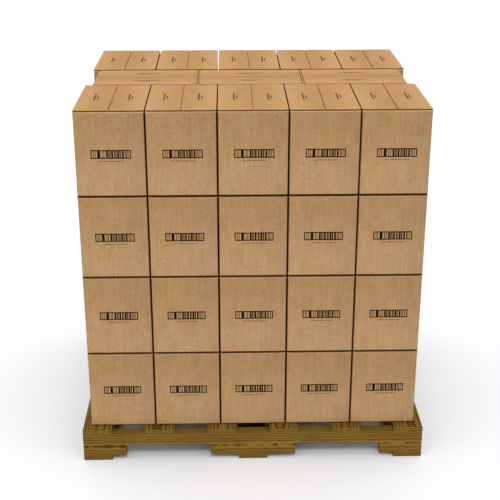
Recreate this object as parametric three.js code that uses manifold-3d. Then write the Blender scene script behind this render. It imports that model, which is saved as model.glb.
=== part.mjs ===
/**
 * A pallet load: corrugated cartons stacked in layers on a notched-stringer timber pallet.
 *
 * Units are millimetres and +Z is up. The origin is the middle of the pallet's footprint, on the
 * floor. X runs along the stringers. Y runs along the boards, from the front of the load to its back.
 *
 * Every layer has a front row and a back row of cartons that stand end-on, and between them a
 * middle row of the same cartons turned by a quarter.
 */

import * as THREE from 'three';
import { mergeVertices } from 'three/addons/utils/BufferGeometryUtils.js';
import Module from 'manifold-3d';

const wasm = await Module();
wasm.setup();

// ---------------------------------------------------------------------------------------------
// Driving dimensions
// ---------------------------------------------------------------------------------------------

// Pallet plan: the common 48 x 40 inch size.
const palletLength = 1219.2;
const palletWidth = 1016;

// Stringers: three planks on edge, each with two fork notches in its underside.
const stringerCount = 3;
const stringerThickness = 38.1;
const stringerHeight = 88.9;
const notchSpacing = 609.6;
const notchLength = 304.8;
const notchDepth = 46;
const notchRadius = 18;

// Deck boards, on top of the stringers.
const deckBoardCount = 6;
const deckBoardWidth = 103;
const deckBoardThickness = 15;

// Base boards, under the stringers' feet.
const baseBoardCount = 3;
const baseBoardWidth = 102;
const baseBoardThickness = 18;

// Sawn edges are eased, and the base boards are chamfered where a pallet truck's wheels climb them.
const boardEdgeRadius = 1.6;
const wheelChamfer = 7;
const wheelChamferClearance = 45;

// One carton: length, width and height outside, and the corrugated board it is made of.
const cartonLength = 371.5;
const cartonWidth = 228.6;
const cartonHeight = 289.6;
const cartonBoard = 4;
const cartonCornerRadius = 4;
const cartonFoldRadius = 1.5;
const endFoldRadius = 4;

// Flaps: the long pair meets along the top and the bottom, over the short pair.
const flapSeam = 2.6;
const flapSetback = 5.5;
const cornerSlotReach = 13;
const cornerSlotDepth = 4;

// How the cartons are laid.
const layerCount = 4;
const endOnCount = 5;
const endOnGap = 4.4;
const turnedCount = 3;
const turnedGap = 1.5;
const frontRowGap = 2;
const backRowGap = 7.5;
const frontMargin = 32.6;

// The lower turned rows are one solid each, joined by hidden webs deep in their gaps.
const webInset = 60;

// What rests on something keeps this clearance to it, and cutters run past a face by the overrun.
const seatClearance = 0.3;
const cutOverrun = 5;

// Arcs get two chords for each curve segment.
const softArc = 1;
const notchArc = 4;

const kraftColour = '#b8905f';
const timberColour = '#83662c';

// ---------------------------------------------------------------------------------------------
// Places that follow from those dimensions
// ---------------------------------------------------------------------------------------------

const stringerBase = baseBoardThickness + seatClearance;
const deckBase = stringerBase + stringerHeight + seatClearance;
const palletHeight = deckBase + deckBoardThickness;
const stringerSpacing = (palletWidth - stringerThickness) / (stringerCount - 1);

const endOnPitch = cartonWidth + endOnGap;
const turnedPitch = cartonLength + turnedGap;
const layerPitch = cartonHeight + seatClearance;

const frontRowY = -palletWidth / 2 + frontMargin + cartonLength / 2;
const turnedRowY = frontRowY + cartonLength / 2 + frontRowGap + cartonWidth / 2;
const backRowY = turnedRowY + cartonWidth / 2 + backRowGap + cartonLength / 2;

// ---------------------------------------------------------------------------------------------
// Making and cutting solids
// ---------------------------------------------------------------------------------------------

/** Makes a solid, which can be cut and joined, from a closed geometry. */
function solidFrom(geometry) {
  const bare = geometry.clone();
  bare.deleteAttribute('normal');
  bare.deleteAttribute('uv');
  const welded = mergeVertices(bare);
  const mesh = new wasm.Mesh({
    numProp: 3,
    vertProperties: welded.attributes.position.array,
    triVerts: new Uint32Array(welded.index.array),
  });
  return new wasm.Manifold(mesh);
}

/** Makes a geometry from a solid. */
function geometryFrom(solid) {
  const mesh = solid.getMesh();
  const geometry = new THREE.BufferGeometry();
  geometry.setAttribute('position', new THREE.BufferAttribute(mesh.vertProperties, 3));
  geometry.setIndex(new THREE.BufferAttribute(mesh.triVerts, 1));
  geometry.computeVertexNormals();
  return geometry;
}

/** Cuts every cutter geometry out of a solid. */
function cutAway(solid, cutters) {
  return cutters.reduce((rest, cutter) => rest.subtract(solidFrom(cutter)), solid);
}

/** A rectangle about the origin with rounded corners. */
function roundedRectangle(width, height, radius) {
  const x = width / 2;
  const y = height / 2;
  const shape = new THREE.Shape();
  shape.moveTo(-x + radius, -y);
  shape.lineTo(x - radius, -y);
  shape.absarc(x - radius, -y + radius, radius, -Math.PI / 2, 0, false);
  shape.lineTo(x, y - radius);
  shape.absarc(x - radius, y - radius, radius, 0, Math.PI / 2, false);
  shape.lineTo(-x + radius, y);
  shape.absarc(-x + radius, y - radius, radius, Math.PI / 2, Math.PI, false);
  shape.lineTo(-x, -y + radius);
  shape.absarc(-x + radius, -y + radius, radius, Math.PI, Math.PI * 1.5, false);
  return shape;
}

/** Extrudes an outline drawn in the plan, X and Y, by a height, about the origin. */
function extrudeUp(shape, height, curveSegments) {
  const geometry = new THREE.ExtrudeGeometry(shape, { depth: height, bevelEnabled: false, curveSegments });
  geometry.translate(0, 0, -height / 2);
  return geometry;
}

/** Extrudes a section drawn in X and Z along Y, about the origin. */
function extrudeAlongY(shape, length, curveSegments) {
  const geometry = extrudeUp(shape, length, curveSegments);
  geometry.rotateX(Math.PI / 2);
  return geometry;
}

/** Extrudes a section drawn in Y and Z along X, about the origin. */
function extrudeAlongX(shape, length, curveSegments) {
  const geometry = extrudeAlongY(shape, length, curveSegments);
  geometry.rotateZ(Math.PI / 2);
  return geometry;
}

/** A piece with its own copy of a material's settings. */
function piece(name, geometry, colour, roughness) {
  const material = new THREE.MeshStandardMaterial({ color: colour, roughness, metalness: 0 });
  const mesh = new THREE.Mesh(geometry, material);
  mesh.name = name;
  return mesh;
}

// ---------------------------------------------------------------------------------------------
// Pallet
// ---------------------------------------------------------------------------------------------

/** The side outline of a stringer: feet and fork notches below, a straight beam above. */
function stringerOutline() {
  const end = palletLength / 2;
  const shape = new THREE.Shape();
  shape.moveTo(-end, 0);
  for (const centre of [-notchSpacing / 2, notchSpacing / 2]) {
    const left = centre - notchLength / 2;
    const right = centre + notchLength / 2;
    const shoulder = notchDepth - notchRadius;
    shape.lineTo(left, 0);
    shape.lineTo(left, shoulder);
    shape.absarc(left + notchRadius, shoulder, notchRadius, Math.PI, Math.PI / 2, true);
    shape.lineTo(right - notchRadius, notchDepth);
    shape.absarc(right - notchRadius, shoulder, notchRadius, Math.PI / 2, 0, true);
    shape.lineTo(right, 0);
  }
  shape.lineTo(end, 0);
  shape.lineTo(end, stringerHeight);
  shape.lineTo(-end, stringerHeight);
  return shape;
}

/** A sawn board that lies along Y, its underside at Z = 0. */
function boardGeometry(width, thickness) {
  const section = roundedRectangle(width, thickness, boardEdgeRadius);
  const geometry = extrudeAlongY(section, palletWidth, softArc);
  geometry.translate(0, 0, thickness / 2);
  return geometry;
}

/** The wedges that bevel a base board's two upper edges in every bay between the stringers. */
function wheelChamferCutters() {
  const cutters = [];
  const bayLength = stringerSpacing - stringerThickness - 2 * wheelChamferClearance;
  for (let bay = 0; bay < stringerCount - 1; bay += 1) {
    const bayY = (bay + 0.5 - (stringerCount - 1) / 2) * stringerSpacing;
    for (const turn of [0, Math.PI]) {
      const wedge = new THREE.Shape();
      const edge = baseBoardWidth / 2;
      wedge.moveTo(edge - wheelChamfer - cutOverrun, baseBoardThickness + cutOverrun);
      wedge.lineTo(edge + cutOverrun, baseBoardThickness - wheelChamfer - cutOverrun);
      wedge.lineTo(edge + cutOverrun, baseBoardThickness + cutOverrun);
      const cutter = extrudeAlongY(wedge, bayLength, softArc);
      cutter.rotateZ(turn);
      cutter.translate(0, bayY, 0);
      cutters.push(cutter);
    }
  }
  return cutters;
}

function addPallet(load) {
  const timber = 0.85;

  const stringer = extrudeAlongY(stringerOutline(), stringerThickness, notchArc);
  for (let i = 0; i < stringerCount; i += 1) {
    const mesh = piece(`stringer_${i + 1}`, stringer, timberColour, timber);
    mesh.position.set(0, (i - (stringerCount - 1) / 2) * stringerSpacing, stringerBase);
    load.add(mesh);
  }

  const deckBoard = boardGeometry(deckBoardWidth, deckBoardThickness);
  const deckPitch = (palletLength - deckBoardWidth) / (deckBoardCount - 1);
  for (let i = 0; i < deckBoardCount; i += 1) {
    const mesh = piece(`deck_board_${i + 1}`, deckBoard, timberColour, timber);
    mesh.position.set((i - (deckBoardCount - 1) / 2) * deckPitch, 0, deckBase);
    load.add(mesh);
  }

  const plainBaseBoard = solidFrom(boardGeometry(baseBoardWidth, baseBoardThickness));
  const baseBoard = geometryFrom(cutAway(plainBaseBoard, wheelChamferCutters()));
  const basePitch = (palletLength - baseBoardWidth) / (baseBoardCount - 1);
  for (let i = 0; i < baseBoardCount; i += 1) {
    const mesh = piece(`base_board_${i + 1}`, baseBoard, timberColour, timber);
    mesh.position.set((i - (baseBoardCount - 1) / 2) * basePitch, 0, 0);
    load.add(mesh);
  }
}

// ---------------------------------------------------------------------------------------------
// Carton
// ---------------------------------------------------------------------------------------------

/** Copies a cutter, made for the top at the +Y end, to every end of the top and the bottom. */
function atEveryEnd(cutter) {
  const copies = [];
  for (const turnX of [0, Math.PI]) {
    for (const turnZ of [0, Math.PI]) {
      copies.push(cutter.clone().rotateX(turnX).rotateZ(turnZ));
    }
  }
  return copies;
}

/** The strip above a short flap and its rounded fold, where the long flaps' raw ends stand back. */
function flapEndCutter() {
  const end = cartonLength / 2;
  const top = cartonHeight / 2;
  const foldTop = top - cartonBoard;
  const strip = new THREE.Shape();
  strip.moveTo(end - flapSetback, top + cutOverrun);
  strip.lineTo(end - flapSetback, foldTop);
  strip.lineTo(end - endFoldRadius, foldTop);
  strip.absarc(end - endFoldRadius, foldTop - endFoldRadius, endFoldRadius, Math.PI / 2, 0, true);
  strip.lineTo(end + cutOverrun, foldTop - endFoldRadius);
  strip.lineTo(end + cutOverrun, top + cutOverrun);
  return extrudeAlongX(strip, cartonWidth + 2 * cutOverrun, softArc);
}

/** The slot cut between two flaps at a corner: it shows as a small notch beside the fold. */
function cornerSlotCutter(side) {
  const fold = cartonWidth / 2;
  const flapEnd = cartonLength / 2 - flapSetback;
  const slope = cornerSlotDepth / cornerSlotReach;
  const notch = new THREE.Shape();
  notch.moveTo(side * (fold - cornerSlotReach - cutOverrun), flapEnd + slope * cutOverrun);
  notch.lineTo(side * (fold + cutOverrun), flapEnd - cornerSlotDepth - slope * cutOverrun);
  notch.lineTo(side * (fold + cutOverrun), flapEnd + slope * cutOverrun);
  const geometry = extrudeUp(notch, cartonBoard + cutOverrun, softArc);
  geometry.translate(0, 0, cartonHeight / 2 + (cutOverrun - cartonBoard) / 2);
  return geometry;
}

/** The seam where the long flaps meet, and the deeper pocket between the short flaps under it. */
function seamCutters(turn) {
  const slit = new THREE.BoxGeometry(flapSeam, cartonLength + 2 * cutOverrun, cartonBoard + cutOverrun);
  slit.translate(0, 0, cartonHeight / 2 + (cutOverrun - cartonBoard) / 2);
  const pocket = new THREE.BoxGeometry(flapSeam, cartonLength - cartonWidth, 2 * cartonBoard + cutOverrun);
  pocket.translate(0, 0, cartonHeight / 2 + cutOverrun / 2 - cartonBoard);
  return [slit.rotateX(turn), pocket.rotateX(turn)];
}

/** A closed regular slotted carton about the origin, its length along Y. */
function cartonSolid() {
  const plan = roundedRectangle(cartonWidth, cartonLength, cartonCornerRadius);
  const walls = extrudeUp(plan, cartonHeight, softArc);
  const section = roundedRectangle(cartonWidth, cartonHeight, cartonFoldRadius);
  const folds = extrudeAlongY(section, cartonLength + 2 * cutOverrun, softArc);
  const blank = solidFrom(walls).intersect(solidFrom(folds));
  return cutAway(blank, [
    ...seamCutters(0),
    ...seamCutters(Math.PI),
    ...atEveryEnd(flapEndCutter()),
    ...atEveryEnd(cornerSlotCutter(1)),
    ...atEveryEnd(cornerSlotCutter(-1)),
  ]);
}

// ---------------------------------------------------------------------------------------------
// Rows and layers
// ---------------------------------------------------------------------------------------------

/** The X of each carton's middle in a row of count cartons that is centred on the pallet. */
function placesAlongX(count, pitch) {
  return Array.from({ length: count }, (_, i) => (i - (count - 1) / 2) * pitch);
}

/** One layer's turned row as a single solid, with the gaps between its cartons cut deep into it. */
function turnedRowSolid(turnedCarton) {
  const places = placesAlongX(turnedCount, turnedPitch);
  const cartons = places.map((x) => solidFrom(turnedCarton.clone().translate(x, 0, 0)));
  const webLength = places[turnedCount - 1] - places[0];
  const webWidth = cartonWidth - 2 * webInset;
  const webHeight = cartonHeight - 2 * webInset;
  const web = new THREE.BoxGeometry(webLength, webWidth, webHeight);
  return cartons.reduce((row, carton) => row.add(carton), solidFrom(web));
}

function addCartons(load) {
  const kraft = 0.88;
  const carton = geometryFrom(cartonSolid());
  const turnedCarton = carton.clone().rotateZ(Math.PI / 2);
  const turnedRow = geometryFrom(turnedRowSolid(turnedCarton));

  for (let layer = 1; layer <= layerCount; layer += 1) {
    const z = palletHeight + seatClearance + cartonHeight / 2 + (layer - 1) * layerPitch;
    const addPiece = (name, geometry, x, y) => {
      const mesh = piece(`layer_${layer}_${name}`, geometry, kraftColour, kraft);
      mesh.position.set(x, y, z);
      load.add(mesh);
    };

    placesAlongX(endOnCount, endOnPitch).forEach((x, i) => {
      addPiece(`front_carton_${i + 1}`, carton, x, frontRowY);
      addPiece(`back_carton_${i + 1}`, carton, x, backRowY);
    });

    if (layer === layerCount) {
      placesAlongX(turnedCount, turnedPitch).forEach((x, i) => {
        addPiece(`turned_carton_${i + 1}`, turnedCarton, x, turnedRowY);
      });
    } else {
      addPiece('turned_row', turnedRow, 0, turnedRowY);
    }
  }
}

const palletLoad = new THREE.Group();
addPallet(palletLoad);
addCartons(palletLoad);

export default palletLoad;
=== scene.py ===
"""Dresses a pallet load: kraft cartons, sawn timber, nails and a plain studio.

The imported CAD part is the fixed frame. Everything is in metres, in that frame: X runs along the
pallet's stringers, Y from the front of the load to its back, and Z up from the floor.
"""

import math
from dataclasses import dataclass

import bmesh
import bpy
from bpy.props import FloatProperty, FloatVectorProperty, PointerProperty
from mathutils import Matrix, Vector


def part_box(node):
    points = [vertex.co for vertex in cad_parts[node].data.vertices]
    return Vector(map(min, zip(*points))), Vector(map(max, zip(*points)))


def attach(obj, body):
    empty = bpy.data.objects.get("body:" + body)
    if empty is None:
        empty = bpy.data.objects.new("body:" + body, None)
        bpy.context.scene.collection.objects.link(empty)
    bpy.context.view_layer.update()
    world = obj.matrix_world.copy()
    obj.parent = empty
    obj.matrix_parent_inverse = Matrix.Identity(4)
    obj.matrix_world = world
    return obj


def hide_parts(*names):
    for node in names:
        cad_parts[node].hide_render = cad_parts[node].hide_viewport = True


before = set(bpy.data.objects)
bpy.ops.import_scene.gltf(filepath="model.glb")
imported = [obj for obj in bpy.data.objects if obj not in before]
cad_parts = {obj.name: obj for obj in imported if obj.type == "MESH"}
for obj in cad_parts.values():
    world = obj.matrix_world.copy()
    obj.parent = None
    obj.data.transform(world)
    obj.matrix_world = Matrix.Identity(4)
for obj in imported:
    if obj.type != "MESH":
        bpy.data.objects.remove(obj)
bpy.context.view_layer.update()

bl_info = {
    "name": "Pallet load",
    "version": (1, 0, 0),
    "blender": (4, 5, 0),
    "location": "View3D > Sidebar > Pallet load",
    "description": "Makes the cartons, timber and nails of a pallet load, and a studio to show it in",
    "category": "Object",
}

MM = 0.001
BODY = "root"
LAYERS = 4
END_ON = 5
TURNED = 3
STRINGERS = 3
DECK_BOARDS = 6

# Lengths that differ by less, in metres, count as the same.
CLOSE = 1e-6
# A normal with more than this along an axis counts as along it.
ALONG_AXIS = 0.99


def linear(code):
    """The linear colour of an sRGB hex code such as "#b08850"."""
    channels = [int(code[i:i + 2], 16) / 255 for i in (1, 3, 5)]
    return tuple(c / 12.92 if c <= 0.04045 else ((c + 0.055) / 1.055) ** 2.4 for c in channels)


def opaque(rgb):
    """A colour with nothing let through."""
    return (*rgb, 1)


# ---------- Settings ----------

def length(name, description, millimetres):
    """A length setting, given in millimetres and kept in metres."""
    return FloatProperty(
        name=name, description=description, default=millimetres * MM, min=0, unit="LENGTH", precision=4
    )


def colour(name, description, code):
    """A colour setting, given as an sRGB hex code."""
    return FloatVectorProperty(
        name=name, description=description, default=linear(code), size=3, min=0, max=1, subtype="COLOR"
    )


def angle(name, description, degrees):
    """An angle setting, given in degrees and kept in radians."""
    return FloatProperty(
        name=name, description=description, default=math.radians(degrees), subtype="ANGLE", unit="ROTATION"
    )


class PALLETLOAD_PG_carton(bpy.types.PropertyGroup):
    """Sizes and colours of the cartons and their print."""

    board: length("Board", "Thickness of the corrugated board", 4)
    liner: length("Liner", "Thickness of a liner at a raw edge", 0.35)
    recess: length("Recess", "How deep the raw edges are open between their liners", 1.2)
    fold: length("Fold", "Radius of the folds of the long flaps", 0.8)
    corner: length("Corner", "Radius of the upright corners", 5)
    short_fold: length("Short fold", "Radius of the folds of the short flaps", 2.5)
    swell: length("Swell", "How far the long flaps' folds stand out past the panels", 0.85)
    neck: length("Neck", "Height over which a panel narrows below a swollen fold", 6)
    seam: length("Seam", "Gap where the long flaps meet", 2.6)
    setback: length("Setback", "How far the long flaps' raw ends stand back from the end panels", 5.5)
    slot_reach: length("Slot reach", "How far a corner slot reaches along the flap's raw end", 13)
    slot_depth: length("Slot depth", "How deep a corner slot is cut at the fold", 4)
    flute: length("Flute pitch", "Distance from one flute of the board to the next", 7.8)
    ink_depth: length("Ink", "How far the print stands on the board, drawn thick to clear it", 0.1)
    panel_yellow: colour("Panel, yellow", "Yellower kraft of the panels", "#b79767")
    panel_pink: colour("Panel, pink", "Pinker kraft of the panels", "#bb916a")
    panel_side: colour("Panel, side", "Greyer kraft at one side of the panels", "#b08e6a")
    # Painted light: the flap tones are the panels' kraft painted paler, for the light that falls on the flaps
    # from above.
    lit_flap_yellow: colour("Flap, yellow", "Yellower kraft of the flaps", "#cda468")
    lit_flap_pink: colour("Flap, pink", "Pinker kraft of the flaps", "#cf9b70")
    lit_flap_side: colour("Flap, seam", "Browner kraft of the flaps towards their seam", "#bb8b59")
    # Partly painted highlight: paler stretched liner, used only where the top layer's folds lie open to the
    # light.
    crease: colour("Crease", "Stretched liner on the short flaps' folds", "#bd9c72")
    cut: colour("Cut edge", "Cut edges of the liners", "#7d5931")
    core: colour("Core", "Fluting paper seen in the raw edges", "#63411d")
    # Painted shade: the next two colours draw the raw edges in a joint between two cartons darker than the
    # same edges left open on top of the load.
    shaded_cut: colour("Shaded cut edge", "Cut edges of the liners, crushed between two cartons", "#5f452b")
    shaded_core: colour("Shaded core", "Fluting paper, crushed between two cartons", "#33210f")
    ink: colour("Ink", "Flexographic print on the end panels", "#200e05")
    thin_ink: colour("Thin ink", "Print where the ink lies thin, as it does on the flaps", "#401f09")


class PALLETLOAD_PG_pallet(bpy.types.PropertyGroup):
    """Sizes and colours of the pallet's timber and nails."""

    ease: length("Ease", "Radius of the timber's worn edges", 1.2)
    nail_radius: length("Nail head", "Radius of a nail's head", 3.4)
    nail_proud: length("Nail proud", "How far a nail's head stands out of the timber", 0.2)
    nail_inset: length("Nail inset", "From a board's edge to its nails", 24)
    early: colour("Early wood", "Pale part of a growth ring", "#8c702e")
    middle: colour("Middle wood", "Middle part of a growth ring", "#6e521a")
    late: colour("Late wood", "Dark part of a growth ring", "#523708")
    knot: colour("Knot wood", "Dark wood of a knot", "#3a2408")
    steel: colour("Nails", "Nail heads", "#4a3826")
    rust: colour("Rust", "Redder rust on the nail heads", "#5d4220")


class PALLETLOAD_PG_stage(bpy.types.PropertyGroup):
    """The studio: camera, floor and lights."""

    camera_place: FloatVectorProperty(
        name="Camera", description="Where the camera stands", default=(-0.0849, -3.7902, 2.1334),
        size=3, subtype="TRANSLATION", unit="LENGTH"
    )
    camera_yaw: angle("Yaw", "How far the camera is turned towards +X", 1.284)
    camera_pitch: angle("Pitch", "How far the camera looks down", 21.91)
    lens: FloatProperty(name="Lens", description="Focal length", default=76.31, min=1, unit="CAMERA")
    floor: colour("Floor", "Pale studio floor, as it lights the load", "#ededed")
    floor_seen: FloatVectorProperty(
        name="Floor, seen", description="How bright the camera sees the floor, with white at 1",
        default=(1.06, 1.095, 1.145), size=3, min=0, subtype="COLOR"
    )
    sky: FloatProperty(name="Sky", description="Strength of the light from all round", default=0.86, min=0)
    sun: FloatProperty(name="Sun", description="Strength of the lamp in front", default=0.65, min=0)
    sun_height: angle("Sun height", "How high the lamp in front stands", 50)
    sun_spread: angle("Sun spread", "How wide the lamp in front looks, which softens its shadows", 12)


class PALLETLOAD_PG_settings(bpy.types.PropertyGroup):
    """All the settings of the pallet load."""

    carton: PointerProperty(type=PALLETLOAD_PG_carton, name="Carton", description="Carton settings")
    pallet: PointerProperty(type=PALLETLOAD_PG_pallet, name="Pallet", description="Pallet settings")
    stage: PointerProperty(type=PALLETLOAD_PG_stage, name="Stage", description="Studio settings")


# ---------- Nodes and materials ----------

# Inputs of a Mix node for colours, which share their names with its other inputs.
SHARE, FIRST, SECOND = 0, 6, 7
# A noise texture swings round a half, and mostly between these two.
NOISE_LOW, NOISE_HIGH = 0.3, 0.7


def add_node(tree, kind, values):
    """Adds a shader node. A value that is a socket, or a node that stands for its first output in use,
    is linked to the input that its key names. Any other value is set on the node or on that input."""
    node = tree.nodes.new("ShaderNode" + kind)
    for key, value in values.items():
        if isinstance(value, bpy.types.Node):
            value = next(socket for socket in value.outputs if socket.enabled)
        if isinstance(value, bpy.types.NodeSocket):
            tree.links.new(value, node.inputs[key])
        elif isinstance(key, str) and hasattr(node, key):
            setattr(node, key, value)
        else:
            node.inputs[key].default_value = value
    return node


def empty_tree(owner):
    """The node tree of a new material or world, with nothing in it."""
    owner.use_nodes = True
    owner.node_tree.nodes.clear()
    return owner.node_tree


def new_material(name, roughness, specular):
    """A material with only a Principled shader, and its tree and shader."""
    material = bpy.data.materials.new(name)
    tree = empty_tree(material)
    shader = add_node(tree, "BsdfPrincipled", {"Roughness": roughness, "Specular IOR Level": specular})
    add_node(tree, "OutputMaterial", {"Surface": shader})
    return material, tree, shader


def soft_noise(tree, place, counts, detail, shift=(0, 0, 0)):
    """A noise texture with so many swings to a metre on each axis."""
    cells = add_node(tree, "Mapping", {0: place, "Location": shift, "Scale": counts})
    return add_node(tree, "TexNoise", {"Vector": cells, "Scale": 1.0, "Detail": detail})


def patchy(tree, place, counts, swing, detail, shift=(0, 0, 0)):
    """A factor that swings round 1 in soft patches, with so many of them to a metre on each axis."""
    noise = soft_noise(tree, place, counts, detail, shift)
    return add_node(
        tree, "MapRange",
        {0: noise, "From Min": NOISE_LOW, "From Max": NOISE_HIGH, "To Min": 1 - swing,
         "To Max": 1 + swing, "clamp": False}
    )


# Patches of hue in the kraft: how many to a metre across and along the flutes, and their swing.
PANEL_PATCHES = ((14, 10, 0.45), (50, 30, 0.35), (125, 80, 0.3))
FLAP_PATCHES = ((4, 10, 0.65), (12, 28, 0.4), (90, 70, 0.4))
# The same for clouds, and for streaks and fibres, which swing its level.
PANEL_CLOUDS = ((24, 18, 0.04), (115, 9, 0.06))
FLAP_CLOUDS = ((4, 10, 0.035), (12, 28, 0.045))
FIBRES = ((170, 110, 0.045), (420, 60, 0.05))
# For red, green and blue: what full warmth adds, and how fast it falls as the level does.
WARMTH = (0.05, 0, -0.095)
BROWNING = (1, 1.25, 1.85)
# The level at a panel's lighter end, and how much a bark fleck and the washboard take from it.
BRIGHTEST = 1.02
FLECK_SHADE = 0.2
RIB_SHADE = 0.01


def kraft_material(name, tones, side_span, side_share, darker_end, patches, clouds, settings):
    """Unbleached kraft liner glued over flutes: matt brown paper with faint lines where the flutes
    lie under it, soft pink and yellow mottling, dark bark flecks, and paler fuzz where the folds are
    rubbed. Its last tone shows towards one side of a panel, over a span and up to a share of it. It
    darkens and browns towards one end. The patches swing its hue and warmth, the clouds its level."""
    yellow, pink, side = tones
    material, tree, shader = new_material(name, roughness=0.85, specular=0.12)
    flutes = add_node(tree, "UVMap", {"uv_map": "flutes"})
    panel = add_node(tree, "UVMap", {"uv_map": "panel"})
    place = add_node(tree, "SeparateXYZ", {0: panel})

    # Uneven pulp: patches of several sizes, whose colour swings in hue and, apart from that, in warmth.
    gains = [2 * swing / (NOISE_HIGH - NOISE_LOW) for _, _, swing in patches]
    hue = 0.5 - sum(gains) / 2
    warmth = -sum(gains) / 2
    for (across, along, _), gain in zip(patches, gains):
        noise = soft_noise(tree, flutes, (across, along, 1), detail=2.0)
        draws = add_node(tree, "SeparateColor", {0: noise.outputs["Color"]})
        hue = add_node(tree, "Math", {"operation": "MULTIPLY_ADD", 0: draws.outputs[0], 1: gain, 2: hue})
        warmth = add_node(
            tree, "Math", {"operation": "MULTIPLY_ADD", 0: draws.outputs[1], 1: gain, 2: warmth}
        )
    bounded = add_node(tree, "Clamp", {0: hue})
    mottled = add_node(
        tree, "Mix", {"data_type": "RGBA", SHARE: bounded, FIRST: opaque(yellow), SECOND: opaque(pink)}
    )
    start, stop = side_span
    share = add_node(
        tree, "MapRange", {0: place.outputs["X"], "From Min": start, "From Max": stop, "To Max": side_share}
    )
    base = add_node(tree, "Mix", {"data_type": "RGBA", SHARE: share, FIRST: mottled, SECOND: opaque(side)})
    warmed = add_node(tree, "VectorMath", {"operation": "MULTIPLY_ADD", 0: warmth, 1: WARMTH, 2: (1, 1, 1)})
    base = add_node(tree, "VectorMath", {"operation": "MULTIPLY", 0: base, 1: warmed})

    # Level: darker towards one end, with soft clouds, streaks along the flutes and finer fibres.
    level = add_node(
        tree, "MapRange",
        {0: place.outputs["Y"], "interpolation_type": "SMOOTHSTEP", "From Min": 0.1, "From Max": 0.95,
         "To Min": BRIGHTEST, "To Max": BRIGHTEST - darker_end}
    )
    factors = [
        patchy(tree, flutes, (across, along, 1), swing, detail=2.0)
        for across, along, swing in (*clouds, *FIBRES)
    ]

    # Paler fuzz where the folds are rubbed, in the last few millimetres of a panel.
    rub = None
    for axis in ("X", "Y"):
        reach = add_node(tree, "Math", {"operation": "SUBTRACT", 0: place.outputs[axis], 1: 0.5})
        reach = add_node(tree, "Math", {"operation": "ABSOLUTE", 0: reach})
        rub = add_node(tree, "Math", {"operation": "MAXIMUM", 0: reach, 1: rub}) if rub else reach
    rub = add_node(tree, "MapRange", {0: rub, "From Min": 0.483, "From Max": 0.497})
    worn = add_node(tree, "TexNoise", {"Vector": flutes, "Scale": 55.0, "Detail": 3.0})
    worn = add_node(tree, "MapRange", {0: worn, "From Min": 0.35, "From Max": 0.6, "To Max": 0.11})
    pale = add_node(tree, "Math", {"operation": "MULTIPLY_ADD", 0: rub, 1: worn, 2: 1.0})

    # Bark flecks, about 4 by 7 mm at half their strength and bent, in one cell of five.
    bent = add_node(tree, "TexNoise", {"Vector": flutes, "Scale": 160.0, "Detail": 1.0})
    bent = add_node(
        tree, "VectorMath",
        {"operation": "MULTIPLY_ADD", 0: bent.outputs["Color"], 1: (8 * MM, 8 * MM, 0), 2: flutes}
    )
    cells = add_node(tree, "Mapping", {0: bent, "Scale": (120, 70, 1)})
    bark = add_node(tree, "TexVoronoi", {"Vector": cells, "Scale": 1.0, "Randomness": 1.0})
    near = add_node(
        tree, "MapRange",
        {0: bark.outputs["Distance"], "From Min": 0.12, "From Max": 0.42, "To Min": 1, "To Max": 0}
    )
    draw = add_node(tree, "SeparateColor", {0: bark.outputs["Color"]})
    chosen = add_node(tree, "MapRange", {0: draw, "From Min": 0.74, "From Max": 0.9})
    fleck = add_node(tree, "Math", {"operation": "MULTIPLY", 0: near, 1: chosen})
    factors.append(add_node(tree, "Math", {"operation": "MULTIPLY_ADD", 0: fleck, 1: -FLECK_SHADE, 2: 1.0}))

    # The washboard of the flutes, which is 0.05 mm deep.
    across_flutes = add_node(tree, "SeparateXYZ", {0: flutes})
    turns = add_node(
        tree, "Math", {"operation": "MULTIPLY", 0: across_flutes, 1: 2 * math.pi / settings.flute}
    )
    wave = add_node(tree, "Math", {"operation": "SINE", 0: turns})
    factors.append(add_node(tree, "Math", {"operation": "MULTIPLY_ADD", 0: wave, 1: RIB_SHADE, 2: 1.0}))
    for factor in factors:
        level = add_node(tree, "Math", {"operation": "MULTIPLY", 0: level, 1: factor})
    browned = add_node(
        tree, "VectorMath",
        {"operation": "MULTIPLY_ADD", 0: level, 1: BROWNING, 2: tuple(1 - take for take in BROWNING)}
    )
    paper = add_node(tree, "VectorMath", {"operation": "MULTIPLY", 0: base, 1: browned})
    paper = add_node(tree, "VectorMath", {"operation": "SCALE", 0: paper, "Scale": pale})
    tree.links.new(paper.outputs[0], shader.inputs["Base Color"])

    ridges = add_node(tree, "Bump", {"Strength": 0.6, "Distance": 0.05 * MM, "Height": wave})
    grit = add_node(tree, "TexNoise", {"Vector": flutes, "Scale": 900.0, "Detail": 2.0})
    tooth = add_node(
        tree, "Bump", {"Strength": 0.25, "Distance": 0.1 * MM, "Height": grit, "Normal": ridges}
    )
    tree.links.new(tooth.outputs[0], shader.inputs["Normal"])
    return material


def raw_edge_material(name, tone):
    """Raw edges of corrugated board: rough recycled pulp, its fibre ends darker than the liners' faces."""
    material, tree, shader = new_material(name, roughness=0.95, specular=0.05)
    flutes = add_node(tree, "UVMap", {"uv_map": "flutes"})
    pulp = add_node(tree, "TexNoise", {"Vector": flutes, "Scale": 420.0, "Detail": 3.0})
    level = add_node(tree, "MapRange", {0: pulp, "To Min": 0.75, "To Max": 1.2})
    torn = add_node(tree, "VectorMath", {"operation": "SCALE", 0: tuple(tone), "Scale": level})
    tree.links.new(torn.outputs[0], shader.inputs["Base Color"])
    return material


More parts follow.
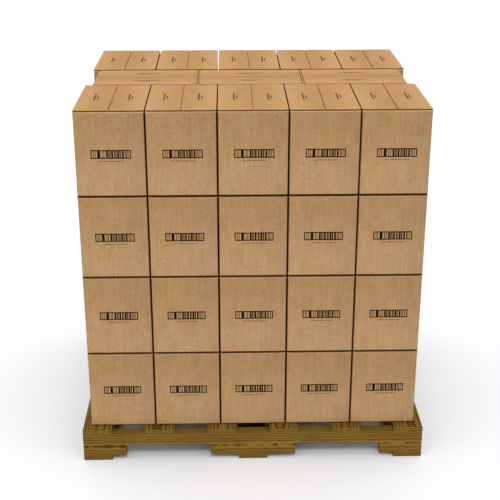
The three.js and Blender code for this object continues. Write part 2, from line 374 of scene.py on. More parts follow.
def ink_material(name, full, thinned):
    """Water-based flexographic ink on kraft: brown black and matt, thinner in small specks."""
    material, tree, shader = new_material(name, roughness=0.85, specular=0.05)
    place = add_node(tree, "TexCoord", {}).outputs["Object"]
    cover = add_node(tree, "TexNoise", {"Vector": place, "Scale": 380.0, "Detail": 2.0})
    thin = add_node(tree, "MapRange", {0: cover, "From Min": 0.5, "From Max": 0.8, "To Max": 0.3})
    tone = add_node(
        tree, "Mix", {"data_type": "RGBA", SHARE: thin, FIRST: opaque(full), SECOND: opaque(thinned)}
    )
    tree.links.new(tone.outputs[2], shader.inputs["Base Color"])
    return material


# The phase of a knot's fine rings over its radius, in radians.
KNOT_PHASE = 24
# The sectors round a pith that may hold a crack: how many to the radian, and the number at angle 0.
SECTORS, SECTOR_0 = 7, 30
CRACK_WIDTH = 0.6 * MM
CRACK_SHADE = 0.8
SAW_PITCH = 4.5 * MM


def timber_material(name, settings, timber, seed):
    """Rough-sawn softwood, treated and gone olive brown: growth rings cut by the saw, so they show as
    long grain and islands on the faces and as arcs on the ends, with knots that the rings flow round,
    fine cracks from drying that run in from the ends, and the saw's marks across the boards."""
    material, tree, shader = new_material(name, roughness=0.8, specular=0.1)
    low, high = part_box(timber.node)
    half = max(high - low) / 2
    place = add_node(tree, "TexCoord", {}).outputs["Object"]
    board = add_node(
        tree, "Mapping",
        {"Vector": place, "vector_type": "TEXTURE", "Location": (low + high) / 2,
         "Rotation": (0, 0, math.pi / 2 if timber.along_y else 0)}
    )
    tree_place = add_node(
        tree, "VectorMath",
        {"operation": "SUBTRACT", 0: board, 1: (0, timber.pith[0] * MM, timber.pith[1] * MM)}
    )

    # Distance from the pith, which wanders along the tree and ripples a little.
    spoke = add_node(tree, "VectorMath", {"operation": "MULTIPLY", 0: tree_place, 1: (0, 1, 1)})
    radius = add_node(tree, "VectorMath", {"operation": "LENGTH", 0: spoke}).outputs["Value"]
    for along, across, swing in ((2.6, 8, 2.5 * MM), (30, 14, 4.5 * MM), (60, 160, 1 * MM)):
        shift = (seed * 7.3, seed * 3.1, 0)
        noise = soft_noise(tree, board, (along, across, across), detail=1.0, shift=shift)
        radius = add_node(
            tree, "Math", {"operation": "MULTIPLY_ADD", 0: noise, 1: swing * timber.wander, 2: radius}
        )

    # A knot is a branch square to the tree: its own fine rings, and the tree's rings pushed round it.
    branch = None
    for at, turn, size in timber.knots:
        across_branch = add_node(
            tree, "Mapping",
            {"Vector": tree_place, "vector_type": "TEXTURE", "Location": (at * MM, 0, 0),
             "Rotation": (math.radians(turn), 0, 0)}
        )
        flat = add_node(tree, "VectorMath", {"operation": "MULTIPLY", 0: across_branch, 1: (0.8, 0, 1)})
        away = add_node(tree, "VectorMath", {"operation": "LENGTH", 0: flat}).outputs["Value"]
        away = add_node(tree, "Math", {"operation": "DIVIDE", 0: away, 1: size * MM})
        push = add_node(
            tree, "MapRange",
            {0: away, "interpolation_type": "SMOOTHSTEP", "From Max": 3.2,
             "To Min": 1.6 * size * MM, "To Max": 0}
        )
        radius = add_node(tree, "Math", {"operation": "ADD", 0: radius, 1: push})
        branch = add_node(tree, "Math", {"operation": "MINIMUM", 0: away, 1: branch}) if branch else away
    rings = add_node(tree, "Math", {"operation": "DIVIDE", 0: radius, 1: timber.ring * MM})
    share = add_node(tree, "Math", {"operation": "FRACT", 0: rings})

    # A ring goes slowly from early to late wood and stops short.
    ring = add_node(tree, "ValToRGB", {0: share})
    ramp = ring.color_ramp
    ramp.elements[0].color = opaque(settings.middle)
    ramp.elements[1].color = opaque(settings.middle)
    for position, tone in ((0.12, settings.early), (0.45, settings.early), (0.66, settings.middle),
                           (0.82, settings.late), (0.95, settings.late)):
        ramp.elements.new(position).color = opaque(tone)
    wood = add_node(
        tree, "Mix",
        {"data_type": "RGBA", SHARE: timber.figure, FIRST: opaque(settings.middle), SECOND: ring}
    )
    if branch:
        knot_rings = add_node(tree, "Math", {"operation": "MULTIPLY", 0: branch, 1: KNOT_PHASE})
        knot_rings = add_node(tree, "Math", {"operation": "SINE", 0: knot_rings})
        knot_share = add_node(tree, "MapRange", {0: knot_rings, "From Min": -1, "To Min": 0.55})
        knot_wood = add_node(
            tree, "Mix",
            {"data_type": "RGBA", SHARE: knot_share, FIRST: opaque(settings.middle),
             SECOND: opaque(settings.knot)}
        )
        inside = add_node(
            tree, "MapRange", {0: branch, "From Min": 0.88, "From Max": 1.08, "To Min": 1, "To Max": 0}
        )
        wood = add_node(tree, "Mix", {"data_type": "RGBA", SHARE: inside, FIRST: wood, SECOND: knot_wood})

    # Fibres along the board, and weathering in patches.
    level = None
    for along, across, swing in ((7, 150, 0.14), (30, 500, 0.10), (9, 14, 0.09)):
        band = patchy(tree, board, (along, across, across), swing, detail=3.0, shift=(seed * 2.7, 0, 0))
        level = add_node(tree, "Math", {"operation": "MULTIPLY", 0: level, 1: band}) if level else band

    # Drying cracks: in some sectors round the pith, a slit that closes further in from the end.
    parts = add_node(tree, "SeparateXYZ", {0: tree_place})
    sector = add_node(tree, "Math", {"operation": "ARCTAN2", 0: parts.outputs["Z"], 1: parts.outputs["Y"]})
    at_0 = SECTOR_0 + seed
    sector = add_node(tree, "Math", {"operation": "MULTIPLY_ADD", 0: sector, 1: SECTORS, 2: at_0})
    draw = add_node(tree, "Math", {"operation": "FLOOR", 0: sector})
    draw = add_node(tree, "TexWhiteNoise", {"noise_dimensions": "1D", "W": draw}).outputs["Value"]
    reach = add_node(
        tree, "MapRange", {0: draw, "From Min": 0.45, "To Min": -8 * MM, "To Max": 75 * MM, "clamp": False}
    )
    inward = add_node(tree, "Math", {"operation": "ABSOLUTE", 0: parts.outputs["X"]})
    inward = add_node(tree, "Math", {"operation": "SUBTRACT", 0: half, 1: inward})
    opening = add_node(tree, "Math", {"operation": "DIVIDE", 0: inward, 1: reach})
    opening = add_node(tree, "MapRange", {0: opening, "From Max": 1, "To Min": CRACK_WIDTH / 2, "To Max": 0})
    open_here = add_node(tree, "Math", {"operation": "GREATER_THAN", 0: reach, 1: 0})
    opening = add_node(tree, "Math", {"operation": "MULTIPLY", 0: opening, 1: open_here})
    off = add_node(tree, "Math", {"operation": "FRACT", 0: sector})
    for operation, value in (("SUBTRACT", 0.5), ("ABSOLUTE", 0), ("MULTIPLY", radius), ("DIVIDE", SECTORS)):
        off = add_node(tree, "Math", {"operation": operation, 0: off, 1: value})
    slit = add_node(tree, "Math", {"operation": "LESS_THAN", 0: off, 1: opening})
    dark = add_node(tree, "Math", {"operation": "MULTIPLY_ADD", 0: slit, 1: -CRACK_SHADE, 2: 1.0})
    seen = add_node(tree, "Math", {"operation": "MULTIPLY", 0: level, 1: dark})

    # The sawn ends soak up more of the treatment, so their rings stand out.
    at_end = add_node(tree, "Math", {"operation": "LESS_THAN", 0: inward, 1: 0.5 * MM})
    soaked = add_node(
        tree, "MapRange", {0: share, "From Min": 0.4, "From Max": 0.85, "To Min": 0.22, "To Max": -0.38}
    )
    soaked = add_node(tree, "Math", {"operation": "MULTIPLY_ADD", 0: soaked, 1: at_end, 2: 1.0})
    seen = add_node(tree, "Math", {"operation": "MULTIPLY", 0: seen, 1: soaked})
    toned = add_node(tree, "VectorMath", {"operation": "SCALE", 0: wood, "Scale": seen})
    tree.links.new(toned.outputs[0], shader.inputs["Base Color"])

    # Saw marks, a little bent, under the raised fibres and the open cracks.
    bend = add_node(tree, "VectorMath", {"operation": "DOT_PRODUCT", 0: board, 1: (1, 0.25, 0.25)})
    shiver = add_node(tree, "TexNoise", {"Vector": board, "Scale": 30.0, "Detail": 2.0})
    saw = add_node(
        tree, "Math",
        {"operation": "MULTIPLY_ADD", 0: bend.outputs["Value"], 1: 2 * math.pi / SAW_PITCH, 2: shiver}
    )
    saw = add_node(tree, "Math", {"operation": "SINE", 0: saw})
    marks = add_node(tree, "Bump", {"Strength": 0.35, "Distance": 0.12 * MM, "Height": saw})
    fibre = add_node(tree, "Bump", {"Strength": 0.5, "Distance": 0.5 * MM, "Height": seen, "Normal": marks})
    tree.links.new(fibre.outputs[0], shader.inputs["Normal"])
    return material


def steel_material(settings):
    """Cut nail wire, rusted brown and dull."""
    material, tree, shader = new_material("rusted_nail_steel", roughness=0.7, specular=0.3)
    place = add_node(tree, "TexCoord", {}).outputs["Object"]
    rust = add_node(tree, "TexNoise", {"Vector": place, "Scale": 260.0, "Detail": 3.0})
    tone = add_node(
        tree, "Mix",
        {"data_type": "RGBA", SHARE: rust, FIRST: opaque(settings.steel), SECOND: opaque(settings.rust)}
    )
    tree.links.new(tone.outputs[2], shader.inputs["Base Color"])
    shader.inputs["Metallic"].default_value = 0.4
    return material


# ---------- Cartons ----------

# Material slots. Painted light among them: the flap kraft is painted paler for the light from above, the
# crease is paler partly as a painted highlight, and the second pair of raw-edge colours is painted shade of
# the joints between cartons.
PANEL, LIT_FLAP, CREASE_HIGHLIGHT, CUT, CORE, SHADED_CUT, SHADED_CORE, INK, THIN_INK = range(9)


def end_faces(bm, side, level):
    """The faces of one end of the carton, above or below, that lie flat at a level."""
    flat = [f for f in bm.faces if f.normal.z * side > ALONG_AXIS]
    return [f for f in flat if abs(f.calc_center_median().z - side * level) < CLOSE]


def score(bm, faces, place, normal):
    """Cuts faces along a plane, into more faces."""
    edges = dict.fromkeys(e for f in faces for e in f.edges)
    corners = dict.fromkeys(v for f in faces for v in f.verts)
    bmesh.ops.bisect_plane(
        bm, geom=[*faces, *edges, *corners], dist=CLOSE / 10, plane_co=place, plane_no=normal
    )


def raise_faces(bm, faces, offset):
    """Extrudes faces as one region, which leaves nothing behind, and moves the new ones."""
    edges = dict.fromkeys(e for f in faces for e in f.edges)
    made = bmesh.ops.extrude_face_region(bm, geom=[*faces, *edges])["geom"]
    bmesh.ops.translate(bm, verts=[g for g in made if isinstance(g, bmesh.types.BMVert)], vec=offset)


def fold_flaps(bm, settings, size, side):
    """Raises the two long flaps of one end, with a seam between them and slots at their corners."""
    width, along, height = size
    level = height / 2 - settings.board
    half_seam = settings.seam / 2
    flap_end = along / 2 - settings.setback
    slot_start = width / 2 - settings.slot_reach
    for x in (-half_seam, half_seam):
        score(bm, end_faces(bm, side, level), (x, 0, 0), (1, 0, 0))
    for y in (-flap_end, flap_end):
        score(bm, end_faces(bm, side, level), (0, y, 0), (0, 1, 0))

    def in_flap(face):
        """Whether a face lies where a long flap does."""
        middle = face.calc_center_median()
        return abs(middle.x) > half_seam and abs(middle.y) < flap_end

    for x_side in (-1, 1):
        for y_side in (-1, 1):
            start = Vector((x_side * slot_start, y_side * flap_end, 0))
            stop = Vector((x_side * width / 2, y_side * (flap_end - settings.slot_depth), 0))
            flaps = [f for f in end_faces(bm, side, level) if in_flap(f)]
            score(bm, flaps, start, (stop - start).cross(Vector((0, 0, 1))))

    def in_slot(face):
        """Whether a face lies in the corner that a slot cuts off a flap."""
        middle = face.calc_center_median()
        reach = (abs(middle.x) - slot_start) / settings.slot_reach
        depth = (abs(middle.y) - flap_end) / settings.slot_depth + 1
        return reach > 0 and depth > 0 and reach + depth > 1

    flaps = [f for f in end_faces(bm, side, level) if in_flap(f) and not in_slot(f)]
    raise_faces(bm, flaps, Vector((0, 0, side * settings.board)))


def open_edge(bm, faces, settings, cut, core):
    """Opens the raw edge of the board that connected faces are: two liners with the fluting between."""
    rims = bmesh.ops.inset_region(
        bm, faces=faces, thickness=settings.liner, depth=0, use_even_offset=True, use_boundary=True
    )["faces"]
    walls = bmesh.ops.inset_region(
        bm, faces=faces, thickness=0, depth=-settings.recess, use_even_offset=True, use_boundary=True
    )["faces"]
    for face in rims:
        face.material_index = cut
    for face in [*faces, *walls]:
        face.material_index = core


def is_flap_edge(face, step):
    """Whether a face is a raw edge of a long flap: upright, and past the short flaps."""
    return abs(face.calc_center_median().z) > step and abs(face.normal.z) < 0.01


def carton_blank(settings, size, is_on_top):
    """A closed regular slotted carton about the origin, its length along Y: rounded folds, long flaps
    that meet in a seam over the short ones, a glued joint at one rear corner, and open raw edges. Raw
    edges in a joint between two cartons are drawn darker, as painted shade; on the top layer the upper
    raw edges keep the lighter colours, and the upper folds of the short flaps are paler, partly as a
    painted highlight."""
    width, along, height = size
    step = height / 2 - settings.board
    start = along / 2 - settings.corner - CLOSE
    bm = bmesh.new()

    def round_off(edges, radius, segments):
        bmesh.ops.bevel(
            bm, geom=edges, offset=radius, offset_type="OFFSET", affect="EDGES", segments=segments,
            profile=0.5, material=-1
        )

    def is_upright_corner(edge):
        """Whether an edge is an upright corner, except the glued one."""
        glued = all(v.co.x < 0 < v.co.y for v in edge.verts)
        return edge.verts[0].co.z * edge.verts[1].co.z < 0 and not glued

    def is_long_fold(edge):
        """Whether an edge is a fold of a long flap."""
        return all(
            abs(abs(v.co.x) - width / 2) < CLOSE and abs(abs(v.co.z) - height / 2) < CLOSE
            for v in edge.verts
        )

    def is_short_fold(edge):
        """Whether an edge is a short flap's fold, or goes on from it round an upright corner."""
        lies_there = all(abs(abs(v.co.z) - step) < CLOSE and abs(v.co.y) > start for v in edge.verts)
        return lies_there and edge.calc_face_angle() > math.radians(45)

    bmesh.ops.create_cube(bm, size=1, matrix=Matrix.Diagonal((width, along, 2 * step, 1)))
    round_off([e for e in bm.edges if is_upright_corner(e)], settings.corner, segments=4)
    for side in (-1, 1):
        score(bm, bm.faces[:], (0, 0, side * (step - settings.neck)), (0, 0, 1))
    for corner in bm.verts:
        if abs(corner.co.z) < step - CLOSE:
            corner.co.x -= math.copysign(settings.swell, corner.co.x)
    for side in (-1, 1):
        fold_flaps(bm, settings, size, side)
    bmesh.ops.dissolve_limit(bm, angle_limit=math.radians(1), verts=bm.verts, edges=bm.edges)
    rear = [f for f in bm.faces if f.normal.y > ALONG_AXIS and abs(f.calc_center_median().z) < step / 2]
    score(bm, rear, (settings.board - width / 2, 0, 0), (1, 0, 0))
    round_off([e for e in bm.edges if is_long_fold(e)], settings.fold, segments=3)
    round_off([e for e in bm.edges if is_short_fold(e)], settings.short_fold, segments=3)

    for face in bm.faces:
        middle = face.calc_center_median()
        # Painted light: the flaps take the kraft painted paler for the light from above.
        if abs(face.normal.z) > 0.7 and abs(middle.z) > step - CLOSE:
            face.material_index = LIT_FLAP
        # Partly painted highlight: only the top layer's upper short folds, open to the light, take the paler
        # crease kraft; in the joints below the same folds keep the panel kraft.
        elif is_on_top and 0 < step - middle.z < settings.short_fold and abs(middle.y) > start:
            face.material_index = CREASE_HIGHLIGHT
    upper = [f for f in bm.faces if is_flap_edge(f, step) and f.calc_center_median().z > 0]
    lower = [f for f in bm.faces if is_flap_edge(f, step) and f.calc_center_median().z < 0]
    # Painted shade: a raw edge in a joint between two cartons takes the darker colours; only the top layer's
    # upper raw edges, open to the light, keep the lighter ones.
    open_edge(bm, upper, settings, *((CUT, CORE) if is_on_top else (SHADED_CUT, SHADED_CORE)))
    open_edge(bm, lower, settings, SHADED_CUT, SHADED_CORE)
    joint = [
        f for f in bm.faces
        if f.normal.y > ALONG_AXIS and f.calc_center_median().x < settings.board - width / 2
        and abs(f.calc_center_median().z) < step / 2
    ]
    open_edge(bm, joint, settings, CUT, CORE)
    return bm


def print_mark(bm, low, high, turn, ink=INK):
    """One solid mark of print, a box from low to high, turned into place. Returns its faces."""
    size = Vector(high) - Vector(low)
    place = Matrix.Translation(Vector(low) + size / 2) @ Matrix.Diagonal((*size, 1))
    made = bmesh.ops.create_cube(bm, size=1, matrix=turn @ place)
    faces = list(dict.fromkeys(f for v in made["verts"] for f in v.link_faces))
    for face in faces:
        face.material_index = ink
    return faces


def print_frame(bm, low, high, turn, line):
    """An open frame of print, from low to high across an end panel, with lines of the given width."""
    caps = sorted(print_mark(bm, low, high, turn), key=lambda face: face.calc_area())[-2:]
    bmesh.ops.inset_individual(bm, faces=caps, thickness=line, use_even_offset=True)
    rims = list(dict.fromkeys(e for f in caps for e in f.edges))
    bmesh.ops.delete(bm, geom=caps, context="FACES_ONLY")
    for face in bmesh.ops.bridge_loops(bm, edges=rims)["faces"]:
        face.material_index = INK


# The print on an end panel, in millimetres from the panel's middle and bottom: a code in a frame, and
# a caption of marks below it.
CODE_LEFT, CODE_RIGHT = -62, 69
CODE_BOTTOM, CODE_TOP = 130.8, 160.4
CODE_LINE = 3.5
CODE_MARGIN = 5
CAPTION_START = -35.5
CAPTION_BELOW = (10.5, 7)
CAPTION_GAP = 3.3
# The generic code's bars and gaps in turn, in units, and the caption's marks, from left to right.
CODE = (1, 2, 1, 3, 5, 3, 1, 2, 1, 3, 3, 1, 2, 1, 1, 1, 3, 2, 2, 1, 1, 1, 3, 1, 2, 2, 3, 2, 1, 1, 1, 2, 1)
CAPTION = (2, 3, 2, 2, 4, 2, 3, 2, 3, 2, 2, 4, 2, 3)


def print_end(bm, settings, size, turn):
    """A framed generic bar code in the middle of an end panel, and a row of small marks under it."""
    _, along, height = size
    left, right = CODE_LEFT * MM, CODE_RIGHT * MM
    bottom, top = (z * MM - height / 2 for z in (CODE_BOTTOM, CODE_TOP))
    line = CODE_LINE * MM
    front, back = -along / 2 - settings.ink_depth, -along / 2 + settings.ink_depth
    print_frame(bm, (left, front, bottom), (right, back, top), turn, line)

    x = left + line + CODE_MARGIN * MM
    unit = (right - left - 2 * (line + CODE_MARGIN * MM)) / sum(CODE)
    for i, count in enumerate(CODE):
        if i % 2 == 0:
            print_mark(bm, (x, front, bottom + line), (x + count * unit, back, top - line), turn)
        x += count * unit

    x = CAPTION_START * MM
    low, high = (bottom - below * MM for below in CAPTION_BELOW)
    for count in CAPTION:
        print_mark(bm, (x, front, low), (x + count * MM, back, high), turn)
        x += (count + CAPTION_GAP) * MM


# Each line of marks on a flap: its offset across the flap, its height, its start, and its marks' widths.
FLAP_LINES = (
    (-6, 6, -45, (8, 6, 9, 7, 9, 6, 8, 7, 6)),
    (4.5, 5, -27, (6, 5, 8, 5, 7)),
)
FLAP_LINE_GAP = 3


def print_flaps(bm, settings, size):
    """Two short lines of generic marks along each long flap of the top."""
    width, _, height = size
    flap_middle = (width + settings.seam) / 4
    for side in (-1, 1):
        for offset, tall, start, marks in FLAP_LINES:
            x = side * flap_middle + offset * MM
            y = start * MM
            for count in marks:
                low = (x, y, height / 2 - settings.ink_depth)
                high = (x + tall * MM, y + count * MM, height / 2 + settings.ink_depth)
                print_mark(bm, low, high, Matrix.Identity(4), THIN_INK)
                y += (count + FLAP_LINE_GAP) * MM


# How far each carton's mottling is shifted from the last one's, in metres across and along the flutes.
MOTTLING_SHIFT = Vector((0.37, 0.91))


def lay_coordinates(bm, size, number):
    """Gives the faces their two coordinate maps: flutes, in metres across and along the flutes, and
    panel, from 0 to 1 over a panel, or from a flap's fold to its seam and along it. The number shifts
    the first, so that no two cartons match."""
    width, along, height = size
    flutes = bm.loops.layers.uv.new("flutes")
    panel = bm.loops.layers.uv.new("panel")
    shift = MOTTLING_SHIFT * number
    for face in bm.faces:
        axis = max(range(3), key=lambda i: abs(face.normal[i]))
        for loop in face.loops:
            x, y, z = loop.vert.co
            if axis == 0:
                place, share = (y + along, z), (y / along + 0.5, z / height + 0.5)
            elif axis == 1:
                place, share = (x, z), (x / width + 0.5, z / height + 0.5)
            else:
                place, share = (y + along, x + 2 * height), (1 - 2 * abs(x) / width, y / along + 0.5)
            loop[flutes].uv = Vector(place) + shift
            loop[panel].uv = share


def smooth_rounds(bm, sharpest):
    """Shades a mesh smooth, but for its edges sharper than an angle."""
    for face in bm.faces:
        face.smooth = True
    for edge in bm.edges:
        edge.smooth = len(edge.link_faces) == 2 and edge.calc_face_angle() < sharpest


def all_cartons():
    """Every carton: its name, its box, whether it is turned, and the CAD node that it stands for."""
    found = []
    for layer in range(1, LAYERS + 1):
        for row in ("front", "back"):
            for i in range(1, END_ON + 1):
                node = f"layer_{layer}_{row}_carton_{i}"
                found.append((f"carton_{layer}_{row}_{i}", *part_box(node), False, node))
        level_low, level_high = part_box(f"layer_{layer}_front_carton_1")
        for i in range(1, TURNED + 1):
            low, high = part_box(f"layer_{LAYERS}_turned_carton_{i}")
            low.z, high.z = level_low.z, level_high.z
            node = f"layer_{layer}_turned_carton_{i}" if layer == LAYERS else f"layer_{layer}_turned_row"
            found.append((f"carton_{layer}_turned_{i}", low, high, True, node))
    return found


def add_object(name, data):
    """Puts a new object with this data in the scene."""
    made = bpy.data.objects.new(name, data)
    bpy.context.scene.collection.objects.link(made)
    return made


def add_mesh(name, bm, materials):
    """Puts a finished bmesh in the scene, as an object with these materials."""
    mesh = bpy.data.meshes.new(name)
    bm.to_mesh(mesh)
    bm.free()
    for material in materials:
        mesh.materials.append(material)
    return add_object(name, mesh)


def add_piece(name, bm, materials):
    """Makes an object of a finished bmesh, which rides on the load's one body."""
    piece = add_mesh(name, bm, materials)
    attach(piece, BODY)
    return piece


class PALLETLOAD_OT_cartons(bpy.types.Operator):
    """Make every carton of the load in place of its CAD solid"""

    bl_idname = "pallet_load.cartons"
    bl_label = "Cartons"

    def execute(self, context):
        settings = context.scene.pallet_load.carton
        materials = [
            kraft_material(
                "kraft_panels", (settings.panel_yellow, settings.panel_pink, settings.panel_side),
                side_span=(0.5, 1), side_share=0.85, darker_end=0.14, patches=PANEL_PATCHES,
                clouds=PANEL_CLOUDS, settings=settings
            ),
            # Painted light: the panels' kraft painted paler for the light from above, with the flaps' own
            # mottling and a browner seam.
            kraft_material(
                "kraft_flaps_lit", (settings.lit_flap_yellow, settings.lit_flap_pink, settings.lit_flap_side),
                side_span=(0, 0.75), side_share=0.7, darker_end=0.02, patches=FLAP_PATCHES,
                clouds=FLAP_CLOUDS, settings=settings
            ),
            # Stretched liner on the top layer's open folds, paler partly as a painted highlight.
            kraft_material(
                "kraft_crease_highlights", (settings.crease,) * 3,
                side_span=(0, 1), side_share=0, darker_end=0, patches=PANEL_PATCHES,
                clouds=PANEL_CLOUDS, settings=settings
            ),
            raw_edge_material("cut_liner_edges", settings.cut),
            raw_edge_material("fluting_paper", settings.core),
            # Painted shade of the joints between cartons: darker copies of the two raw-edge colours.
            raw_edge_material("shaded_liner_edges", settings.shaded_cut),
            raw_edge_material("shaded_fluting_paper", settings.shaded_core),
            ink_material("flexo_ink", settings.ink, settings.thin_ink),
            ink_material("flexo_ink_thin", settings.thin_ink, settings.lit_flap_side),
        ]
        quarter = Matrix.Rotation(-math.pi / 2, 4, "Z")
        half = Matrix.Rotation(math.pi, 4, "Z")
        for number, (name, low, high, turned, node) in enumerate(all_cartons()):
            # The ink on top stays inside the carton's own box.
            high.z -= 2 * settings.ink_depth
            across, along, height = high - low
            size = (along, across, height) if turned else (across, along, height)
            bm = carton_blank(settings, size, is_on_top=name.startswith(f"carton_{LAYERS}"))
            lay_coordinates(bm, size, number)
            smooth_rounds(bm, sharpest=math.radians(40))
            print_end(bm, settings, size, Matrix.Identity(4))
            print_end(bm, settings, size, half)
            print_flaps(bm, settings, size)
            turn = quarter if turned else Matrix.Identity(4)
            bmesh.ops.transform(bm, matrix=Matrix.Translation((low + high) / 2) @ turn, verts=bm.verts)
            piece = add_piece(name, bm, materials)
            piece.modifiers.new("Panel normals", "WEIGHTED_NORMAL").keep_sharp = True
            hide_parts(node)
        return {"FINISHED"}


# ---------- Pallet ----------

@dataclass
class Timber:
    """One timber of the pallet and how it was cut from its tree. The pith is the middle of the rings,
    in millimetres across and up from the timber's own middle. The wander is how far the rings stray,
    with 1 for a crooked tree. A knot is its place along the timber in millimetres, its turn round the
    pith in degrees, and its radius in millimetres."""

    node: str
    along_y: bool
    pith: tuple
    ring: float
    figure: float
    knots: tuple = ()
    wander: float = 1.0


TIMBERS = (
    Timber("stringer_1", False, (-57, -7.2), 4.5, 0.85, wander=0.62),
    Timber("stringer_2", False, (-55, 12), 4.4, 1.0, ((-130, 20, 9), (395, -12, 6))),
    Timber("stringer_3", False, (52, -15), 4.2, 1.0, ((-265, 166, 9), (180, 186, 6), (515, 158, 7))),
    Timber("deck_board_1", True, (-10, -47), 6.2, 0.85, ((330, 80, 8),)),
    Timber("deck_board_2", True, (8, -52), 6.6, 0.85, ((-60, 100, 9),)),
    Timber("deck_board_3", True, (-4, -44), 6.0, 0.85, ((385, 92, 6),)),
    Timber("deck_board_4", True, (14, -50), 6.4, 0.85, ((120, 75, 8),)),
    Timber("deck_board_5", True, (2, -46), 6.1, 0.85, ((-250, 96, 7),)),
    Timber("deck_board_6", True, (-12, -54), 6.7, 0.85, ((210, 84, 10), (-300, 70, 6))),
    Timber("base_board_1", True, (9, 54), 5.3, 0.45, ((-210, 255, 9),)),
    Timber("base_board_2", True, (-11, 60), 5.8, 0.45, ((150, 280, 8), (400, 265, 7))),
    Timber("base_board_3", True, (4, 66), 5.5, 0.45, ((-90, 275, 10),)),
)


class PALLETLOAD_OT_timber(bpy.types.Operator):
    """Finish the pallet's stringers and boards as sawn timber with worn edges"""

    bl_idname = "pallet_load.timber"
    bl_label = "Timber"

    def execute(self, context):
        settings = context.scene.pallet_load.pallet
        for seed, timber in enumerate(TIMBERS):
            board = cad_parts[timber.node]
            board.data.materials.clear()
            board.data.materials.append(timber_material(f"sawn_{timber.node}", settings, timber, seed))
            board.modifiers.new("Join triangles", "WELD").merge_threshold = 0.01 * MM
            worn = board.modifiers.new("Worn edges", "BEVEL")
            worn.width = settings.ease
            worn.segments = 2
            worn.limit_method = "ANGLE"
            worn.angle_limit = math.radians(50)
            board.modifiers.new("Flat faces", "WEIGHTED_NORMAL")
        return {"FINISHED"}


class PALLETLOAD_OT_nails(bpy.types.Operator):
    """Set the heads of two nails into every deck board over every stringer"""

    bl_idname = "pallet_load.nails"
    bl_label = "Nails"

    def execute(self, context):
        settings = context.scene.pallet_load.pallet
        steel = steel_material(settings)
        stagger = 5 * MM
        shank = 2 * MM
        taper = 0.9
        for i in range(1, DECK_BOARDS + 1):
            bm = bmesh.new()
            low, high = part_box(f"deck_board_{i}")
            for j in range(1, STRINGERS + 1):
                stringer_low, stringer_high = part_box(f"stringer_{j}")
                middle = (stringer_low.y + stringer_high.y) / 2
                for side in (-1, 1):
                    x = (low.x + high.x) / 2 + side * ((high.x - low.x) / 2 - settings.nail_inset)
                    y = middle + side * stagger
                    head = Matrix.Translation((x, y, high.z + settings.nail_proud - shank / 2))
                    bmesh.ops.create_cone(
                        bm, cap_ends=True, segments=14, radius1=settings.nail_radius,
                        radius2=settings.nail_radius * taper, depth=shank, matrix=head
                    )
            add_piece(f"deck_nails_{i}", bm, [steel])
        return {"FINISHED"}


# ---------- Stage ----------

def add_camera(settings):
    """The camera, which looks from the front and a little left, down on the load."""
    data = bpy.data.cameras.new("camera")
    data.lens = settings.lens
    data.sensor_width = 36
    data.clip_end = 100
    camera = add_object("camera", data)
    camera.location = settings.camera_place
    camera.rotation_euler = (math.pi / 2 - settings.camera_pitch, 0, -settings.camera_yaw)
    bpy.context.scene.camera = camera


def camera_rays(tree):
    """A socket that is 1 for what the camera sees, straight or in a gloss or through glass, and else 0."""
    path = add_node(tree, "LightPath", {})
    seen = path.outputs["Is Camera Ray"]
    for ray in ("Is Glossy Ray", "Is Transmission Ray"):
        seen = add_node(tree, "Math", {"operation": "MAXIMUM", 0: seen, 1: path.outputs[ray]})
    return seen


def add_floor(settings):
    """A wide matt floor just under the load, which takes its shadow and fades to white away from it."""
    material = bpy.data.materials.new("studio_floor_paint")
    tree = empty_tree(material)
    seen = camera_rays(tree)
    tone = add_node(
        tree, "Mix",
        {"data_type": "RGBA", SHARE: seen, FIRST: opaque(settings.floor), SECOND: opaque(settings.floor_seen)}
    )
    paint = add_node(tree, "BsdfDiffuse", {"Color": tone})
    add_node(tree, "OutputMaterial", {"Surface": paint})

    drop = Matrix.Translation((0, 0, -0.2 * MM))
    bm = bmesh.new()
    bmesh.ops.create_grid(bm, x_segments=1, y_segments=1, size=30, matrix=drop)
    floor = add_mesh("studio_floor", bm, [material])


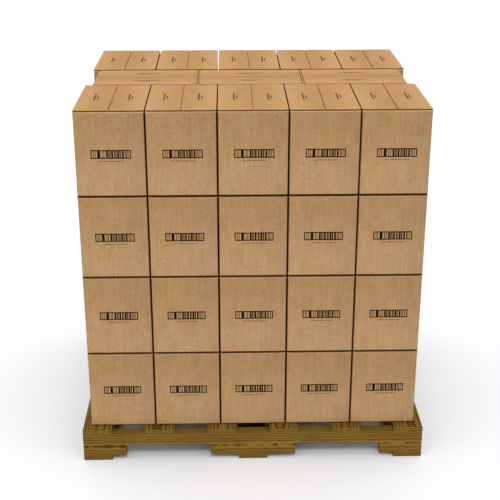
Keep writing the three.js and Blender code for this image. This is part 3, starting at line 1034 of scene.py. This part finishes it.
def add_sky(settings):
    """Even white light from all round, and a pure white background behind the object."""
    world = bpy.data.worlds.new("studio_sky")
    tree = empty_tree(world)
    white = opaque(linear("#ffffff"))
    lighting = add_node(tree, "Background", {"Color": white, "Strength": settings.sky})
    backdrop = add_node(tree, "Background", {"Color": white, "Strength": 1.0})
    mixed = add_node(tree, "MixShader", {0: camera_rays(tree), 1: lighting, 2: backdrop})
    add_node(tree, "OutputWorld", {"Surface": mixed})
    bpy.context.scene.world = world


def add_sun(settings):
    """One wide soft lamp in front of the load, square to it."""
    data = bpy.data.lights.new("front_sun", "SUN")
    data.energy = settings.sun
    data.angle = settings.sun_spread
    lamp = add_object("front_sun", data)
    lamp.rotation_euler = (math.pi / 2 - settings.sun_height, 0, 0)


class PALLETLOAD_OT_stage(bpy.types.Operator):
    """Set up the studio: camera, pale floor, white sky and one soft lamp in front"""

    bl_idname = "pallet_load.stage"
    bl_label = "Stage"

    def execute(self, context):
        settings = context.scene.pallet_load.stage
        add_camera(settings)
        add_floor(settings)
        add_sky(settings)
        add_sun(settings)
        context.scene.view_settings.view_transform = "Standard"
        return {"FINISHED"}


# ---------- Panel and registration ----------

STEPS = (PALLETLOAD_OT_stage, PALLETLOAD_OT_cartons, PALLETLOAD_OT_timber, PALLETLOAD_OT_nails)


class PALLETLOAD_PT_sidebar(bpy.types.Panel):
    """Lists the steps and settings of the pallet load"""

    bl_idname = "PALLETLOAD_PT_sidebar"
    bl_label = "Pallet load"
    bl_space_type = "VIEW_3D"
    bl_region_type = "UI"
    bl_category = "Pallet load"

    def draw(self, context):
        for step in STEPS:
            self.layout.operator(step.bl_idname)
        settings = context.scene.pallet_load
        for group in (settings.carton, settings.pallet, settings.stage):
            column = self.layout.column(align=True)
            for key in group.__annotations__:
                column.prop(group, key)


CLASSES = (
    PALLETLOAD_PG_carton, PALLETLOAD_PG_pallet, PALLETLOAD_PG_stage, PALLETLOAD_PG_settings, *STEPS,
    PALLETLOAD_PT_sidebar,
)


def register():
    for cls in CLASSES:
        bpy.utils.register_class(cls)
    bpy.types.Scene.pallet_load = PointerProperty(type=PALLETLOAD_PG_settings)


def unregister():
    del bpy.types.Scene.pallet_load
    for cls in reversed(CLASSES):
        bpy.utils.unregister_class(cls)


def main():
    register()
    bpy.ops.pallet_load.stage()
    bpy.ops.pallet_load.cartons()
    bpy.ops.pallet_load.timber()
    bpy.ops.pallet_load.nails()


if __name__ == "__main__":
    main()
